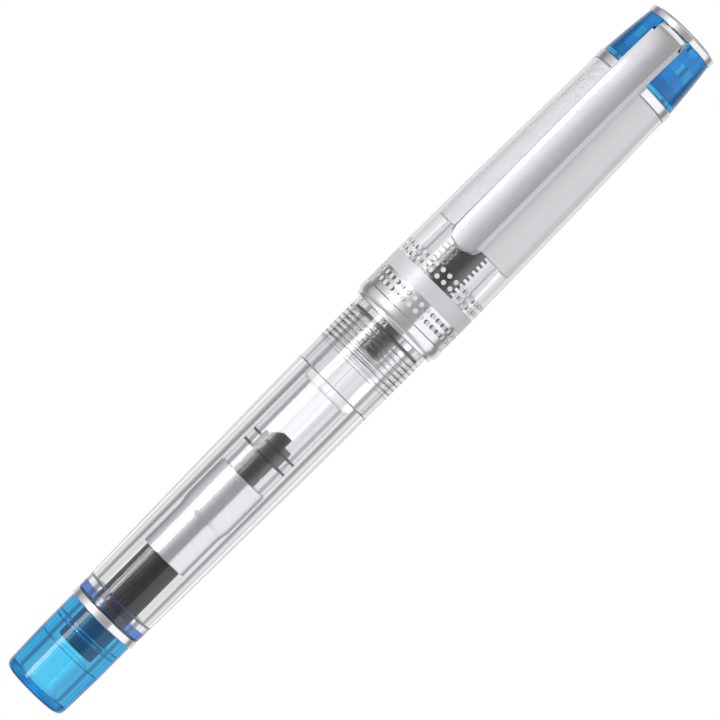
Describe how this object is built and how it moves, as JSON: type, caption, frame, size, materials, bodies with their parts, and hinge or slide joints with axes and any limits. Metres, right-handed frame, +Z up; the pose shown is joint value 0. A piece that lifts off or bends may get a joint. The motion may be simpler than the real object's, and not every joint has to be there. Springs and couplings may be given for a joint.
{
  "type": "fountain pen",
  "caption": "Capped fountain pen with clear barrel and cap, tinted ends, sprung pocket clip, screw-in grip section, steel nib and twist converter.",
  "frame": {"origin": "centre of the flat end face of the tail cap", "axes": "+Z up the pen's axis from the tail to the top of the cap, -Y towards the pocket clip, +X to the right when the clip faces the viewer"},
  "size_m": [0.0138, 0.0151, 0.1204],
  "materials": {
    "blue_plastic": "clear tinted acrylic, polished",
    "deep_blue_plastic": "clear tinted acrylic, polished",
    "clear_plastic": "clear acrylic, polished",
    "frosted_plastic": "frosted, milky",
    "clear_seal": "soft seal, satin",
    "black_plastic": "moulded, gloss",
    "black_rubber": "smooth",
    "silver_trim": "satin chrome plate",
    "silver_band": "fine satin",
    "chrome_trim": "polished, slightly satin",
    "satin_steel": "satin turned steel",
    "nib_steel": "polished steel"
  },
  "bodies": {
    "barrel": {"tail_cap": "blue_plastic", "tail_ring": "silver_trim", "barrel_tube": "clear_plastic"},
    "washer": {"sealing_washer": "clear_seal"},
    "section": {"grip_section": "clear_plastic", "nib_feed": "black_plastic", "nib": "nib_steel"},
    "converter": {"converter_tube": "clear_plastic", "converter_sleeve": "satin_steel", "spindle_guide": "black_plastic"},
    "knob": {"converter_knob": "black_plastic"},
    "piston": {"piston_rod": "black_plastic", "piston_seal": "black_rubber"},
    "cap": {"cap_lip_ring": "silver_trim", "cap_shell": "clear_plastic", "cap_band": "silver_band", "inner_cap": "frosted_plastic", "cap_ring": "silver_trim", "cap_crown": "deep_blue_plastic", "crown_plug": "deep_blue_plastic", "cap_finial": "chrome_trim"},
    "clip": {"clip": "chrome_trim"}
  },
  "joints": [
    {"name": "section_advance", "type": "slide", "parent": "barrel", "child": "washer", "axis": [0, 0, 1], "range_m": [0, 0.00525]},
    {"name": "section_turn", "type": "hinge", "parent": "washer", "child": "section", "pos_m": [0, 0, 0.062], "axis": [0, 0, 1], "range_deg": [0, 2520]},
    {"name": "cap_slide", "type": "slide", "parent": "section", "child": "cap", "axis": [0, 0, 1], "range_m": [0, 0.05]},
    {"name": "clip_flex", "type": "hinge", "parent": "cap", "child": "clip", "pos_m": [0, -0.0045, 0.11855], "axis": [-1, 0, 0], "range_deg": [0, 5], "stiffness_Nm_per_rad": 1.5},
    {"name": "converter_pull", "type": "slide", "parent": "section", "child": "converter", "axis": [0, 0, -1], "range_m": [0, 0.006]},
    {"name": "knob_turn", "type": "hinge", "parent": "converter", "child": "knob", "pos_m": [0, 0, 0.02], "axis": [0, 0, 1], "range_deg": [0, 1800]},
    {"name": "piston_travel", "type": "slide", "parent": "converter", "child": "piston", "axis": [0, 0, 1], "range_m": [0, 0.0069]}
  ],
  "couplings": [
    {"joint": "section_turn", "follows": "section_advance", "rad_per_m": 8377.6},
    {"joint": "knob_turn", "follows": "piston_travel", "rad_per_m": 4553}
  ]
}
